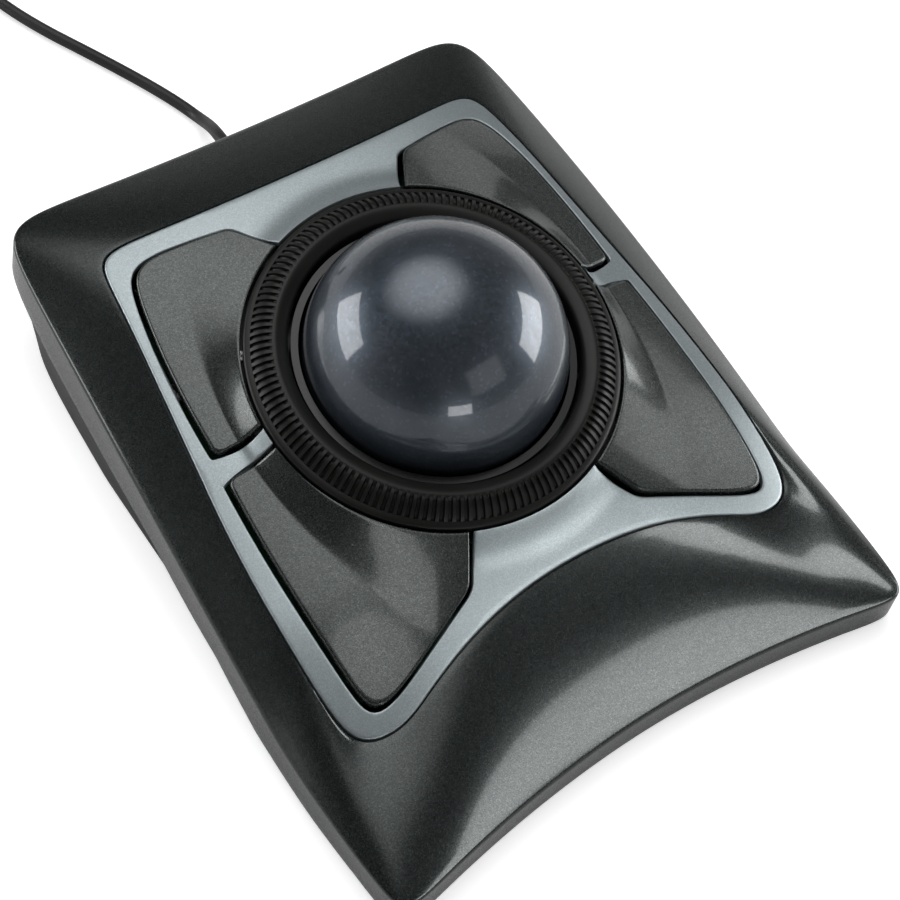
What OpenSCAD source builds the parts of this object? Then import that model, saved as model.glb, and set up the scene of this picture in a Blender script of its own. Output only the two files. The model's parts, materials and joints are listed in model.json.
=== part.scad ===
// Desktop trackball with a large ball, a ribbed scroll ring and four sculpted buttons.
// Origin: on the desk plane under the middle of the footprint. +X right, +Y to the back, +Z up.
// The deck plane is the plane of the scroll ring's opening; it is tilted towards the front.

/* [Overall] */
// Height of the scroll ring's opening above the desk
ring_z = 36; // [34:0.5:37]
// Distance of the scroll ring's centre behind the origin
ring_y = 9; // [8:0.5:10]
// Tilt of the deck plane towards the front, degrees
tilt = 8; // [7.5:0.25:8.5]
// Radius of the round opening that the scroll ring turns in
open_r = 39.8; // [39.7:0.05:40]

/* [Ball and socket] */
// Radius of the ball
ball_r = 27.5; // [27.3:0.1:27.6]
// Height of the ball's centre above the opening plane
ball_h = 0.7; // [0.4:0.1:1]
// Radius of each small ceramic bearing in the socket
bearing_r = 1.25; // [1.1:0.05:1.3]

/* [Shell] */
// Edge rounding of the top shell
edge_r = 1.6; // [1.4:0.1:2]
// Wall thickness of the shells
wall = 2; // [1.8:0.1:2.2]
// Height of the rubber feet
foot_h = 2; // [1.8:0.1:2.2]

/* [Buttons] */
// Gap between a button and the frame around it
gap = 1; // [0.9:0.05:1.1]
// Thickness of a button's plate
btn_t = 2; // [1.8:0.1:2.2]
// Height of a button above the frame
proud = 0.9; // [0.8:0.05:1]
// Radius of a button's pivot pin
pin_r = 1.2; // [1.1:0.05:1.3]

/* [Cable] */
// Radius of the cable
cable_r = 1.45; // [1.3:0.05:1.6]

/* [Hidden] */
clearance = 0.05;   // running clearance of pins and guides
far = 10000;        // radius of an edge that a ray does not meet

// ---- small helpers ----
function flat(lists) = [for (list = lists) each list];
function clamp(value) = max(0, min(1, value));
function soft_min(a, b, power) = pow(pow(a, -power) + pow(b, -power), -1 / power);
function soft_max(a, b, width) = (a + b + sqrt((a - b) * (a - b) + width * width)) / 2;
function polar(radius, angle) = [radius * cos(angle), radius * sin(angle)];
function unit(vector) = vector / norm(vector);
// angle of an arc of the given length
function arc_angle(length, radius) = length / radius * 180 / PI;

// deck coordinates (x, y, height over the opening plane) to the model's frame
function deck_point(p) = [
    p.x,
    p.y * cos(tilt) - p.z * sin(tilt) + ring_y,
    p.y * sin(tilt) + p.z * cos(tilt) + ring_z];
module on_deck() { translate([0, ring_y, ring_z]) rotate([tilt, 0, 0]) children(); }
module at_each(points, z) { for (p = points) translate([p.x, p.y, z]) children(); }
module around(angles) { for (a = angles) rotate(a) children(); }

// a half loop from back to front, closed by its mirror image on the left
function mirror_loop(half) =
    concat(half, [for (i = [len(half) - 2:-1:1]) [-half[i].x, half[i].y, half[i].z]]);

// triangles between two rows of n points each
function band(row, next, n) = [for (i = [0:n - 1])
    let (j = (i + 1) % n, a = row * n + i, b = row * n + j, c = next * n + j, d = next * n + i)
    each [[a, b, c], [a, c, d]]];
function flipped(faces) = [for (f = faces) [f[2], f[1], f[0]]];

// a ring of loops closed on itself
module torus_of(loops) {
    m = len(loops);
    n = len(loops[0]);
    polyhedron(flat(loops), flipped(flat([for (j = [0:m - 1]) band(j, (j + 1) % m, n)])));
}

// a stack of loops closed by a flat face at each end
module stack_of(loops) {
    m = len(loops);
    n = len(loops[0]);
    polyhedron(flat(loops), concat(
        [[for (i = [n - 1:-1:0]) i]],
        [[for (i = [0:n - 1]) (m - 1) * n + i]],
        flat([for (j = [0:m - 2]) band(j, j + 1, n)])));
}

// screw standing on its head, with a cross slot in the underside
module screw(shank_r, head_r, head_h, length) difference() {
    union() {
        cylinder(h = head_h, r = head_r, $fn = 32);
        cylinder(h = head_h + length, r = shank_r, $fn = 32);
    }
    around([0, 90]) translate([-head_r * 0.6, -0.2, -0.1])
        cube([head_r * 1.2, 0.4, head_h * 0.6 + 0.1]);
}

// ---- deck surface: a low dome that flares up to the ring ----
lip_z = 0.5;        // height of the surfaces where they meet the opening
crease_x = 44.3;    // where the soft crease on the buttons crosses the x axis

function dome_z(x, y) =
    -(2 + 4.6 * pow(abs(x) / 50, 2.9) + 0.0042 * pow(max(0, abs(y) - 30), 2));
function frame_z(x, y) =
    let (r = norm([x, y]), k = open_r / r, width = 5 + 3 * y * y / r / r,
        rise = clamp(1 - (r - open_r) / width))
    dome_z(x, y) + (lip_z - dome_z(x * k, y * k)) * rise * rise;
// radius of the crease, a parabola, at a polar angle
function crease_r(angle) =
    let (bend = 0.0048 * sin(angle) * sin(angle))
    bend > 0.000001
        ? (-cos(angle) + sqrt(cos(angle) * cos(angle) + 4 * bend * crease_x)) / (2 * bend)
        : crease_x / cos(angle);
function button_z(x, y) =
    let (r = norm([x, y]), k = open_r / r,
        crease = min(60, crease_r(atan2(abs(y), abs(x)))),
        part = clamp((r - open_r) / max(crease - open_r, 1)))
    dome_z(x, y) + proud + (lip_z - dome_z(x * k, y * k) - proud) * pow(1 - part, 1.25);
// point on the frame's surface, in the model's frame
function surface_point(p, down) = deck_point([p.x, p.y, frame_z(p.x, p.y) - down]);

// ---- outlines as radii round the ring's axis ----
// The curves below are fitted; y is measured from the ring's centre. Where a curve depends
// on the point it is meeting, it is iterated n times along a ray of the given slope.
function ray_x(angle) = max(cos(angle), 0.000001);
function ray_y(angle) = max(abs(sin(angle)), 0.001);

function frame_back_y(slope, y, n) =
    n == 0 ? y : frame_back_y(slope, 52.4 + 1.9 * pow(min(y / slope, 60) / 38, 2.5), n - 1);
function frame_front_y(slope, y, n) =
    n == 0 ? y
    : frame_front_y(slope, 50.5 + 11 * pow(soft_min(y / slope, 44.5, 20) / 44, 2.1), n - 1);
// outer edge of the frame
function frame_r(angle) =
    let (x = ray_x(angle), y = ray_y(angle), slope = y / x, steep = max(slope, 0.3))
    angle >= 0
        ? soft_min(frame_back_y(steep, 53, 4) / y, 53.8 / (x + 0.115 * y), 19)
        : soft_min(frame_front_y(steep, 55, 6) / y,
            slope > 1.6 ? far : (53.8 + 6.9 * slope - 5 * slope * slope) / x, 17);

function side_x(y) =
    64.35 - 0.0428 * y - 0.000215 * y * y - 0.0012 * pow(max(0, -45 - y), 2);
// end is 1 towards the back and -1 towards the front
function shell_side_x(slope, end, x, n) =
    n == 0 ? x : shell_side_x(slope, end, side_x(end * min(x * slope, 95)), n - 1);
function shell_back_y(slope, y, n) =
    n == 0 ? y : shell_back_y(slope, 75.7 + 0.9 * pow(min(y / slope, 66) / 45, 2), n - 1);
function shell_front_y(slope, y, n) =
    n == 0 ? y : shell_front_y(slope, 81.1 + 6.3 * pow(min(y / slope, 70) / 56, 1.9), n - 1);
// outer edge of the shells
function shell_r(angle) =
    let (x = ray_x(angle), y = ray_y(angle), slope = y / x, steep = max(slope, 0.3))
    angle >= 0
        ? soft_min(shell_back_y(steep, 76, 4) / y, shell_side_x(slope, 1, 64, 6) / x, 16)
        : soft_min(shell_front_y(steep, 83, 6) / y, shell_side_x(slope, -1, 64, 6) / x, 30);
// angle on the shell's edge that goes with an angle on the frame's edge
function shell_angle(angle) =
    angle >= 49 ? 90 - (90 - angle) * 38.6 / 41
    : angle >= 0 ? angle * 51.4 / 49
    : angle > -49.3 ? angle * 53.9 / 49.3
    : -90 + (angle + 90) * 36.1 / 40.7;

// heights of the rim and of the skirt's lower edge
function rim_z(y) = soft_max(21.1 + 0.175 * y - 0.00075 * y * y, 11.2, 1.2);
function skirt_z(y) = soft_max(4.85 + 0.215 * y, 2, 1.5);
// how far the walls lean out at the skirt, and how far the foot of the base does
function flare(y) =
    1.5 * clamp((y - 5) / 45) + 1.2 * clamp((-y - 22) / 18) - 0.5 * clamp((-y - 60) / 15);
function splay(y) = -0.3 + 1.7 * clamp((y + 5) / 30) + 1 * clamp((-y - 22) / 18);
// outline of the foot of the base, with tighter corners at the back
function base_r(angle) =
    let (x = ray_x(angle), y = ray_y(angle), slope = y / x)
    angle >= 0
        ? soft_min(shell_back_y(max(slope, 0.3), 76, 4) / y,
            (shell_side_x(slope, 1, 64, 6) + splay(60 * clamp(slope))) / x, 9)
        : shell_r(angle) + splay(shell_r(angle) * sin(angle));

// ---- closed loops of points, clockwise from the back ----
half_steps = 60;    // steps from back to front round half a shell
function step_angle(i) =
    i < 8 ? 90 - 4 * i
    : i < 22 ? 58 - 18 * (i - 8) / 14
    : i < 38 ? 40 - 82 * (i - 22) / 16
    : i < 52 ? -42 - 20 * (i - 38) / 14
    : -62 - 3.5 * (i - 52);
half_angles = [for (i = [0:half_steps]) step_angle(i)];

seam = 0.4;                 // gap between the frame and the top shell
rim_inset = 0.45 * edge_r;  // where the deck meets the rounding of the rim

function plan(angle, inset) =
    let (out = shell_angle(angle)) polar(shell_r(out) - inset, out);
function frame_point(angle, out, down) =
    surface_point(polar(frame_r(angle) + out, angle), down);
function rim_point(angle, inset, down) =
    let (p = plan(angle, inset)) [p.x, p.y + ring_y, rim_z(p.y) - down];
// cubic from start to end with the given end slopes
function cubic(t, start, end, slope0, slope1) =
    let (q = 1 - t)
    start * (1 + 2 * t) * q * q + end * t * t * (3 - 2 * t)
        + slope0 * t * q * q - slope1 * t * t * q;

function frame_loop(out, down) =
    mirror_loop([for (a = half_angles) frame_point(a, out, down)]);
function rim_loop(inset, down) =
    mirror_loop([for (a = half_angles) rim_point(a, inset, down)]);
function skirt_loop(inset, up) = mirror_loop([for (a = half_angles)
    let (edge = plan(a, 0), p = plan(a, inset - flare(edge.y)))
    [p.x, p.y + ring_y, skirt_z(edge.y) + up]]);
function base_loop(inset, z) = mirror_loop([for (a = half_angles)
    let (out = shell_angle(a), p = polar(base_r(out) - inset, out))
    [p.x, p.y + ring_y, z]]);
// deck between frame and rim: leaves the frame gently and reaches the rim steeply
function deck_loop(part, down) = mirror_loop([for (a = half_angles)
    let (inner = frame_point(a, seam, 0), outer = rim_point(a, rim_inset, 0),
        p = inner + (outer - inner) * part, fall = outer.z - inner.z,
        front = clamp(-1.6 * sin(a) - 0.4),
        z = cubic(part, inner.z, outer.z,
            (0.85 - 0.25 * front) * fall, (1.15 + 0.4 * front) * fall))
    [p.x, p.y, z - down]]);

// ---- casing ----
floor_z = 1.2;      // underside of the base
boss_z = 8;         // lower end of the top shell's bosses
// bosses for the case screws: x, y, top
bosses = [[50, 63, 32.2], [-50, 63, 32.2], [53, -55, 13.5], [-53, -55, 13.5]];
// posts of the base: under the ring carrier and under the main board, deck coordinates
tower_xy = [for (a = [14, 166, 194, 346]) polar(43.8, a)];
board_xy = [[46, 24], [-46, 24], [46, -26], [-46, -26]];
foot_xy = [[46, 50], [-46, 50], [42, -66], [-42, -66]];
foot_r = 5.9;

module top_shell() color([0.20, 0.21, 0.21]) difference() {
    union() {
        torus_of([
            // outside
            frame_loop(seam, 0),
            deck_loop(0.3, 0), deck_loop(0.6, 0), deck_loop(0.85, 0),
            rim_loop(rim_inset, 0),
            rim_loop(0.16 * edge_r, 0.28 * edge_r),
            rim_loop(0.03 * edge_r, 0.7 * edge_r),
            rim_loop(0, 1.15 * edge_r),
            skirt_loop(0.5, 0),
            // inside
            skirt_loop(0.5 + wall, 0), skirt_loop(0.5 + wall, 2.7),
            rim_loop(wall + 0.6, 5.5),
            deck_loop(0.55, wall + 0.4),
            // ledge under the frame
            frame_loop(-0.2, 3.6), frame_loop(-2.8, 3.6), frame_loop(-2.8, 2),
            frame_loop(seam, 2)]);
        for (p = bosses) translate([p.x, p.y, boss_z])
            cylinder(h = p.z - boss_z, r = 3.2, $fn = 48);
    }
    at_each(bosses, boss_z - 1) cylinder(h = 6, r = 1.2, $fn = 32);
}

module bottom_shell() color([0.12, 0.12, 0.12]) difference() {
    union() {
        stack_of([
            base_loop(1.6, floor_z), base_loop(1.3, floor_z + 0.4),
            skirt_loop(1.5, -0.15), skirt_loop(2.8, -0.15),
            skirt_loop(2.8, 2.4), skirt_loop(4.4, 2.4),
            base_loop(4.6, floor_z + 2)]);
        at_each(bosses, floor_z + 1) cylinder(h = 6.8 - floor_z, r = 3.4, $fn = 48);
        // posts for the ring carrier and the board, cut off inside the floor
        intersection() {
            on_deck() {
                at_each(tower_xy, -50) cylinder(h = 50 + carrier_z, r = 2.8, $fn = 48);
                at_each(board_xy, -50) cylinder(h = 50 + board_z, r = 2.8, $fn = 48);
            }
            translate([-80, -90, floor_z + 1]) cube([160, 190, 60]);
        }
    }
    at_each(bosses, 0) {
        cylinder(h = 10, r = 1.6, $fn = 32);
        cylinder(h = 3.2, r = 3, $fn = 48);
    }
    at_each(foot_xy, 0) cylinder(h = foot_h, r = foot_r + 0.1, $fn = 64);
    on_deck() {
        at_each(tower_xy, carrier_z - 5) cylinder(h = 6, r = 0.9, $fn = 32);
        at_each(board_xy, board_z - 4) cylinder(h = 5, r = 0.9, $fn = 32);
    }
    at_outlet(60) cylinder(h = 20, r = 3.2, $fn = 48);
}

module case_screws() color("silver") at_each(bosses, 1.6)
    screw(shank_r = 1.15, head_r = 2.6, head_h = 1.6, length = 9.4);

module foot(i) color([0.08, 0.08, 0.08]) at_each([foot_xy[i]], 0) union() {
    translate([0, 0, 0.4]) cylinder(h = foot_h - 0.4, r = foot_r, $fn = 64);
    cylinder(h = 0.4, r = 5.5, $fn = 64);
}
module foot_back_left() foot(1);
module foot_back_right() foot(0);
module foot_front_left() foot(3);
module foot_front_right() foot(2);

// ---- silver frame round the buttons ----
// Button rows: 0 is the back pair, 1 the front pair. Angles are measured from the x axis.
// Ends of a button: inner and outer angle at the notch, inner and outer at the bridge
end_angles = [[67, 65.2, 3.4, 3.4], [67.4, 65.8, 3.2, 2.4]];
// angle on the frame's outer edge opposite each button's bridge end
bridge_angles = [5.2, 4.6];
frame_t = 1.65;
lobe_steps = 30;
half_gap = gap / 2;
outer_r = 50;       // radius at which lengths along a button's outer edge become angles
ring_gap = arc_angle(half_gap, open_r);
outer_gap = arc_angle(half_gap, outer_r);

// outer edge in the middle of the gap round a button
function button_r(angle, row) =
    let (x = cos(angle), y = sin(angle), slope = y / x,
        back = y - 0.171 * x, front = y - 0.453 * x)
    row == 0
        ? soft_min(back < 0.3 ? far : 42.36 / back,
            slope > 1.6 ? far : (49.7 - 5 * slope * slope) / x, 18)
        : soft_min(front < 0.2 ? far : 36.6 / front,
            slope > 1.8 ? far : (50.2 + 3.9 * slope - 3.5 * slope * slope) / x, 14);
// rounding of a button's end corners, as a drop of radius
function corner_drop(angle, from, to, size) =
    let (width = arc_angle(size, outer_r), dist = min(abs(angle - from), abs(angle - to)))
    dist < width ? size * (1 - sqrt(1 - pow(1 - dist / width, 2))) : 0;

// The frame's inner edge is a list of [angle, radius, angle on the outer edge].
// Outer part of the edge round one button, from notch to bridge
function lobe(row) =
    let (from = end_angles[row][1] + outer_gap, to = end_angles[row][3] - outer_gap)
    [for (i = [0:lobe_steps]) let (part = i / lobe_steps, a = from + (to - from) * part)
        [a, button_r(a, row) + half_gap - corner_drop(a, from, to, 1.6),
            from + (bridge_angles[row] - from) * part]];
function to_front(entry) = [-entry[0], entry[1], -entry[2]];
// n evenly spaced entries from one entry up to, but without, the next
function lead(from, to, n) = [for (i = [0:n - 1]) from + (to - from) * i / n];
function inner_half() = let (
    back = lobe(0),
    front = [for (entry = lobe(1)) to_front(entry)],
    back_ends = end_angles[0],
    front_ends = end_angles[1],
    start = [90, open_r, 90],
    back_notch = [back_ends[0] + ring_gap, open_r, back_ends[0]],
    back_bridge = [back_ends[2] - ring_gap, open_r, 1.8],
    front_bridge = [-(front_ends[2] - ring_gap), open_r, -1.4],
    front_notch = [-(front_ends[0] + ring_gap), open_r, -front_ends[0]],
    end = [-90, open_r, -90])
    concat(
        lead(start, back_notch, 6),
        lead(back_notch, back[0], 3),
        [for (i = [0:lobe_steps - 1]) back[i]],
        lead(back[lobe_steps], back_bridge, 3),
        lead(back_bridge, front_bridge, 2),
        lead(front_bridge, front[lobe_steps], 3),
        [for (i = [lobe_steps:-1:1]) front[i]],
        lead(front[0], front_notch, 3),
        lead(front_notch, end, 6),
        [end]);
inner_edge = inner_half();

// loop part of the way from the frame's inner edge to its outer edge
function web_loop(part, down) = mirror_loop([for (q = inner_edge)
    surface_point(polar(q[1], q[0]) * (1 - part) + polar(frame_r(q[2]), q[2]) * part, down)]);
web_parts = [0, 0.2, 0.45, 0.75, 1];
module bezel() color([0.62, 0.67, 0.70]) torus_of(concat(
    [for (part = web_parts) web_loop(part, 0)],
    [for (i = [len(web_parts) - 1:-1:0]) web_loop(web_parts[i], frame_t)]));

// ---- buttons: plate, pivot lug with pin, and a post over the switch ----
// sx is 1 on the right and -1 on the left, sy is 1 at the back and -1 at the front
steps_along = 20;
steps_out = 5;
pivot_r = 43;
pivot_z = -6.5;
pivot_angles = [45, 135, 225, 315];
lug_l = 14;
pin_l = 21;
levers = [14, 19];  // from the pivot to the switch, for each row

function row_of(sy) = sy > 0 ? 0 : 1;
function switch_xy(row) = polar(pivot_r + levers[row], 45);
// point of a plate, along from notch to bridge and out from the ring to the outer edge
function plate_xy(row, along, out) =
    let (ends = end_angles[row],
        outer1 = ends[1] - outer_gap, outer2 = ends[3] + outer_gap,
        inner1 = ends[0] - ring_gap, inner2 = ends[2] + ring_gap,
        outer = outer1 + (outer2 - outer1) * along,
        inner = inner1 + (inner2 - inner1) * along,
        radius = button_r(outer, row) - half_gap - corner_drop(outer, outer1, outer2, 1.4))
    polar(open_r, inner) * (1 - out) + polar(radius, outer) * out;

module plate(sx, sy) {
    points = [for (i = [0:steps_along]) for (j = [0:steps_out])
        plate_xy(row_of(sy), i / steps_along, j / steps_out)];
    top = [for (p = points) deck_point([sx * p.x, sy * p.y, button_z(p.x, p.y)])];
    bottom = [for (p = points) deck_point([sx * p.x, sy * p.y, button_z(p.x, p.y) - btn_t])];
    n = len(points);
    w = steps_out + 1;
    rim = concat(
        [for (j = [0:steps_out - 1]) j],
        [for (i = [0:steps_along - 1]) i * w + steps_out],
        [for (j = [steps_out:-1:1]) steps_along * w + j],
        [for (i = [steps_along:-1:1]) i * w]);
    upper = [for (i = [0:steps_along - 1]) for (j = [0:steps_out - 1])
        let (a = i * w + j, c = a + w + 1)
        each [[a, a + 1, c], [a, c, a + w]]];
    lower = [for (f = flipped(upper)) f + [n, n, n]];
    side = [for (i = [0:len(rim) - 1]) let (a = rim[i], b = rim[(i + 1) % len(rim)])
        each [[b, a, a + n], [b, a + n, b + n]]];
    faces = concat(upper, lower, side);
    polyhedron(concat(top, bottom), sx * sy > 0 ? faces : flipped(faces));
}

module button(sx, sy) color([0.30, 0.31, 0.31]) {
    post = switch_xy(row_of(sy));
    lug = polar(pivot_r, 45);
    lug_top = button_z(lug.x, lug.y) - btn_t * 0.75;
    plate(sx, sy);
    on_deck() {
        rotate([0, 0, atan2(sy, sx)]) {
            translate([pivot_r - 2.2, -lug_l / 2, pivot_z - 2.2])
                cube([4.4, lug_l, lug_top - pivot_z + 2.2]);
            translate([pivot_r, 0, pivot_z]) rotate([90, 0, 0])
                cylinder(h = pin_l, r = pin_r, center = true, $fn = 48);
        }
        translate([sx * post.x, sy * post.y, plunger_top + 0.04])
            cylinder(h = button_z(post.x, post.y) - btn_t * 0.6 - plunger_top, r = 1.9, $fn = 32);
    }
}
module button_back_left() button(-1, 1);
module button_back_right() button(1, 1);
module button_front_left() button(-1, -1);
module button_front_right() button(1, -1);

// ---- scroll ring, and the fixed frame that it turns on and the buttons pivot on ----
carrier_z = -12;    // underside of the carrier
shelf_z = -10.4;    // top of the carrier's plate
slot_count = 36;    // slots in the encoder ring
retainer_angles = [30, 150, 270];
retainer_r = 39.5;  // radius of the retainer screws' circle
socket_angles = [90, 210, 330];
socket_screw_r = 31;

// profile: radius, height
module scroll_ring() color([0.09, 0.09, 0.09]) on_deck() rotate_extrude($fn = 180) polygon([
    [39.2, -1.2], [39.3, 0.2], [38.9, 0.8], [37.6, 1.35], [36.5, 2.2], [35.1, 3.05],
    [33.8, 3.62], [33.2, 3.85], [32.4, 3.75], [31.2, 3.3], [30.6, 2.8], [30.4, 2.3],
    [30.4, -1], [31.4, -1], [31.4, 1.4], [35.2, 1.4], [35.2, -7], [38.2, -7],
    [38.2, -6.2], [36.8, -6.2], [36.8, -1.2]]);

module encoder_ring() color([0.15, 0.15, 0.16]) on_deck() difference() {
    translate([0, 0, -9.6]) difference() {
        cylinder(h = 2.6, r = 36.4, $fn = 180);
        translate([0, 0, -1]) cylinder(h = 5, r = 35.6, $fn = 180);
    }
    for (i = [0:slot_count - 1]) rotate(i * 360 / slot_count)
        translate([35, -1.5, -10]) cube([2, 3, 2]);
}

module ring_carrier() color([0.16, 0.16, 0.17]) on_deck() difference() {
    union() {
        // profile: radius, height
        rotate_extrude($fn = 144) polygon([
            [29, carrier_z], [47, carrier_z], [47, shelf_z], [41, shelf_z], [41, -5.9],
            [38.6, -5.9], [38.6, shelf_z], [35.12, shelf_z], [35.12, 1.35], [33, 1.35],
            [33, shelf_z], [29, shelf_z]]);
        // a pair of pivot lugs for each button
        for (a = pivot_angles, s = [-1, 1]) rotate(a) {
            translate([pivot_r - 2.3, s * 9 - 1.5, -11]) cube([4.6, 3, 11 + pivot_z]);
            translate([pivot_r, s * 9, pivot_z]) rotate([90, 0, 0])
                cylinder(h = 3, r = 2.3, center = true, $fn = 48);
        }
    }
    // pivot bores, and room for the button's lug
    around(pivot_angles) {
        translate([pivot_r, 0, pivot_z]) rotate([90, 0, 0])
            cylinder(h = 24, r = pin_r + clearance, center = true, $fn = 48);
        translate([pivot_r - 3, -7.5, shelf_z]) cube([6.2, 15, 12]);
    }
    at_each(tower_xy, carrier_z - 1) cylinder(h = 4, r = 1.3, $fn = 32);
    around(retainer_angles) translate([retainer_r, 0, -9.5]) cylinder(h = 5, r = 0.6, $fn = 32);
    around(socket_angles) translate([socket_screw_r, 0, carrier_z - 1])
        cylinder(h = 4, r = 0.7, $fn = 32);
    // window for the encoder's light
    translate([-4, 32, shelf_z]) cube([8, 4, 3.4]);
}

module carrier_screws() color("silver") on_deck() at_each(tower_xy, -9.2) mirror([0, 0, 1])
    screw(shank_r = 0.85, head_r = 2, head_h = 1.2, length = 5);

module ring_retainer() color([0.16, 0.16, 0.17]) on_deck() difference() {
    rotate_extrude($fn = 144) polygon([[37.1, -5.9], [40.5, -5.9], [40.5, -4.9], [37.1, -4.9]]);
    around(retainer_angles) translate([retainer_r, 0, -7]) cylinder(h = 4, r = 0.7, $fn = 32);
}

module retainer_screws() color("silver") on_deck() around(retainer_angles)
    translate([retainer_r, 0, -4.2]) mirror([0, 0, 1])
        screw(shank_r = 0.55, head_r = 1.1, head_h = 0.7, length = 3.4);

// ---- ball, socket and sensor ----
core_r = 20;
journal_r = 4;
journal_out = 4;    // how far the journal reaches past the core at each end
socket_r = 28.2;    // inside of the socket
bearing_tilt = 42;  // angle of the bearings below the ball's equator
sensor_tilt = 50;   // sensor axis: angle from straight down towards the back
sensor_board_z = 33.3;

module at_ball() { on_deck() translate([0, 0, ball_h]) children(); }
// z runs outwards from the ball's centre in the next two
module sensor_axis() { at_ball() rotate([180 + sensor_tilt, 0, 0]) children(); }
module at_bearings() {
    for (a = socket_angles) at_ball()
        rotate([0, 0, a + 60]) rotate([0, 90 + bearing_tilt, 0]) children();
}
module at_stakes(z) { for (x = [-7.2, 7.2], y = [-5.7, 5.7]) translate([x, y, z]) children(); }

module ball() color([0.17, 0.19, 0.24]) at_ball() difference() {
    sphere(r = ball_r, $fn = 128);
    // the core turns in the middle on a short journal along the y axis
    sphere(r = core_r + clearance, $fn = 96);
    rotate([90, 0, 0]) cylinder(h = 2 * (core_r + journal_out) + 0.2,
        r = journal_r + clearance, center = true, $fn = 48);
}

module ball_core() color([0.17, 0.19, 0.24]) at_ball() difference() {
    rotate([90, 0, 0]) rotate_extrude($fn = 96) difference() {
        union() {
            circle(r = core_r, $fn = 96);
            translate([0, -core_r - journal_out])
                square([journal_r, 2 * (core_r + journal_out)]);
        }
        translate([-60, -60]) square([60, 120]);
    }
    // round bore along the x axis
    rotate([0, 90, 0]) cylinder(h = 2 * core_r + 2, r = 3, center = true, $fn = 48);
}

module ball_socket() color([0.10, 0.10, 0.10]) difference() {
    union() {
        // bowl with a flange
        at_ball() rotate_extrude($fn = 128) difference() {
            union() {
                circle(r = 29.7, $fn = 128);
                translate([25, -11.1]) square([7.4, 1.6]);
            }
            circle(r = socket_r, $fn = 128);
            translate([-40, -40]) square([40, 80]);
            translate([0, 0.2]) square([40, 40]);
        }
        sensor_axis() translate([0, 0, 28.6]) cylinder(h = 3.2, r = 5.2, $fn = 48);
        at_bearings() translate([0, 0, 28.4]) cylinder(h = 2.2, r = 2.4, $fn = 32);
        // posts that the sensor's board is staked to
        sensor_axis() at_stakes(27.8) {
            cylinder(h = 5.4, r = 1.4, $fn = 32);
            cylinder(h = 7.6, r = 0.7, $fn = 32);
        }
    }
    at_ball() sphere(r = socket_r, $fn = 128);
    sensor_axis() translate([0, 0, 20]) cylinder(h = 20, r = 3.6, $fn = 48);
    at_bearings() translate([0, 0, 20])
        cylinder(h = ball_r + 2 * bearing_r + 0.05 - 20, r = bearing_r + 0.02, $fn = 32);
    on_deck() around(socket_angles) translate([socket_screw_r, 0, -14])
        cylinder(h = 8, r = 0.9, $fn = 32);
    // drain near the lowest point
    at_ball() translate([0, -6, -40]) cylinder(h = 30, r = 1.5, $fn = 32);
}

module socket_bearings() color("white") at_bearings()
    translate([0, 0, ball_r + bearing_r + 0.03]) sphere(r = bearing_r, $fn = 32);

module socket_screws() color("silver") on_deck() around(socket_angles)
    translate([socket_screw_r, 0, -7.9]) mirror([0, 0, 1])
        screw(shank_r = 0.65, head_r = 1.3, head_h = 0.8, length = 3.4);

module sensor_lens() color([0.8, 0.85, 0.9, 0.5]) sensor_axis() union() {
    translate([0, 0, 29]) cylinder(h = 2.2, r = 3.58, $fn = 48);
    translate([0, 0, 31.85]) mirror([0, 0, 1]) cylinder(h = 0.65, r = 2.4, $fn = 48);
}
module sensor_board() color([0.05, 0.30, 0.15]) sensor_axis() difference() {
    translate([-9, -7.5, sensor_board_z]) cube([18, 15, 1.6]);
    at_stakes(32) cylinder(h = 4, r = 0.8, $fn = 32);
}
module sensor_chip() color([0.07, 0.07, 0.07]) sensor_axis()
    translate([-4.5, -3.5, sensor_board_z - 1.4]) cube([9, 7, 1.4]);
module sensor_led() color([0.9, 0.2, 0.2]) sensor_axis()
    translate([6.6, 0, sensor_board_z - 1.5]) {
        cylinder(h = 1.5, r = 1.5, $fn = 32);
        mirror([0, 0, 1]) cylinder(h = 0.6, r = 1.1, $fn = 32);
    }
module encoder_emitter() color([0.15, 0.15, 0.18]) on_deck()
    translate([-2, 32.6, shelf_z]) cube([4, 2, 3.3]);
module encoder_detector() color([0.12, 0.12, 0.12]) on_deck()
    translate([-2, 36.9, shelf_z]) cube([4, 1.55, 3]);

// ---- electronics ----
board_z = -20;
board_t = 1.6;
board_top = board_z + board_t;
body_h = 6.4;       // height of a switch
plunger_h = 2.5;
plunger_out = 0.9;  // how far a plunger stands out of its switch
plunger_top = board_top + body_h + plunger_out;

module main_board() color([0.05, 0.30, 0.15]) on_deck() difference() {
    translate([-50, -52, board_z]) cube([100, 100, board_t]);
    translate([0, 0, board_z - 1]) cylinder(h = 4, r = 24.5, $fn = 96);
    translate([-13, 0, board_z - 1]) cube([26, 38, 4]);
    at_each(tower_xy, board_z - 1) cylinder(h = 4, r = 3.3, $fn = 48);
    at_each(board_xy, board_z - 1) cylinder(h = 4, r = 1.3, $fn = 32);
}
module board_screws() color("silver") on_deck()
    at_each(board_xy, board_top + 1.2) mirror([0, 0, 1])
        screw(shank_r = 0.85, head_r = 2, head_h = 1.2, length = 5);

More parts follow.
